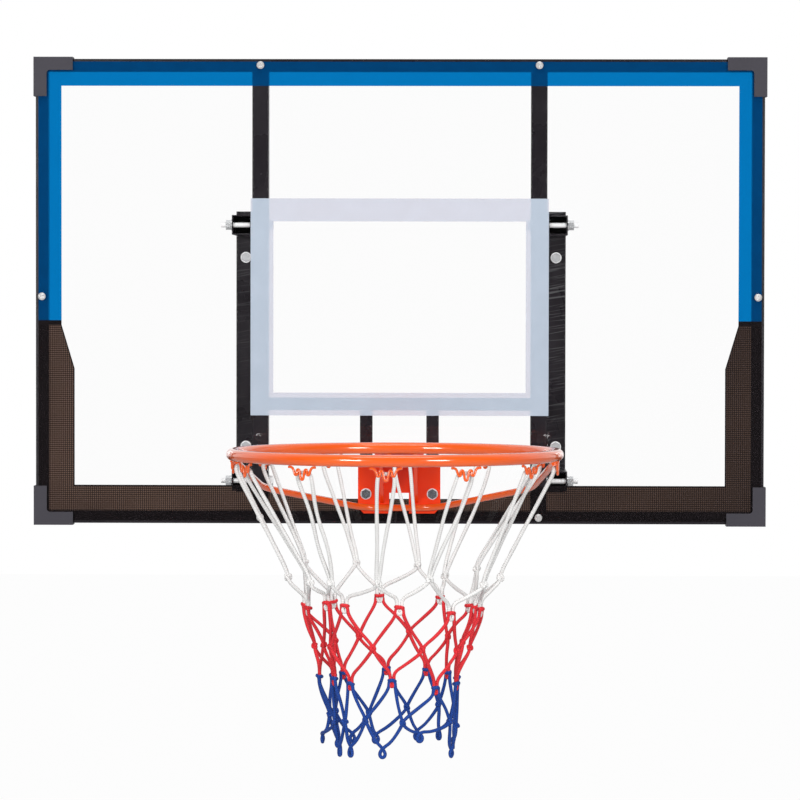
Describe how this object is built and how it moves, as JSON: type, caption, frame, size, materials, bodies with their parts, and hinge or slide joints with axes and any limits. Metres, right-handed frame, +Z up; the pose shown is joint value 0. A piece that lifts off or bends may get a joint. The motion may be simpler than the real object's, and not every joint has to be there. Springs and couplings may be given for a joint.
{
  "type": "basketball backboard",
  "caption": "Wall-mounted basketball backboard: clear framed panel with a printed target, fixed orange rim with a brace, hanging cord net and bolted wall brackets.",
  "frame": {"origin": "centre of the four wall bolts, on the wall plane that the rails' backs lie on", "axes": "+X to the right as a player sees the board, +Y into the wall, +Z up"},
  "size_m": [1.12, 0.837, 1.0222],
  "materials": {
    "clear_plastic": "clear polished sheet",
    "blue_print": "translucent printed film",
    "dark_print": "translucent dotted printed film",
    "white_print": "printed film",
    "black_paint": "black powder coat",
    "grey_plastic": "fine matt moulding",
    "zinc_steel": "bright zinc plate",
    "orange_paint": "orange powder coat",
    "white_cord": "braided cord",
    "red_cord": "braided cord",
    "blue_cord": "braided cord"
  },
  "bodies": {
    "backboard": {"clear_panel": "clear_plastic", "blue_border_print": "blue_print", "dark_border_print": "dark_print", "target_print": "white_print", "rim_plate": "orange_paint", "rim_neck": "orange_paint", "left_rim_gusset": "orange_paint", "right_rim_gusset": "orange_paint", "rim_ring": "orange_paint", "rim_brace": "orange_paint", "net_hooks": "orange_paint", "frame_top_rail": "black_paint", "frame_bottom_rail": "black_paint", "frame_left_rail": "black_paint", "frame_right_rail": "black_paint", "left_upright": "black_paint", "right_upright": "black_paint", "cross_tube": "black_paint", "left_rim_strut": "black_paint", "right_rim_strut": "black_paint", "left_wall_rail": "black_paint", "right_wall_rail": "black_paint", "upper_left_arm": "black_paint", "lower_left_arm": "black_paint", "upper_right_arm": "black_paint", "lower_right_arm": "black_paint", "top_left_corner_cap": "grey_plastic", "bottom_left_corner_cap": "grey_plastic", "top_right_corner_cap": "grey_plastic", "bottom_right_corner_cap": "grey_plastic", "panel_screws": "zinc_steel", "panel_screw_nuts": "zinc_steel", "rim_bolts": "zinc_steel", "rim_bolt_washers": "zinc_steel", "rim_bolt_nuts": "zinc_steel", "bracket_bolts": "zinc_steel", "bracket_washers": "zinc_steel", "bracket_nuts": "zinc_steel", "wall_bolts": "zinc_steel", "wall_bolt_washers": "zinc_steel"},
    "net": {"net_white_cords": "white_cord", "net_red_cords": "red_cord", "net_blue_cords": "blue_cord"}
  },
  "joints": [
    {"name": "net_sway", "type": "hinge", "parent": "backboard", "child": "net", "pos_m": [0, -0.535, -0.157], "axis": [1, 0, 0], "range_deg": [-20, 20], "deforming": ["net_white_cords"]}
  ]
}
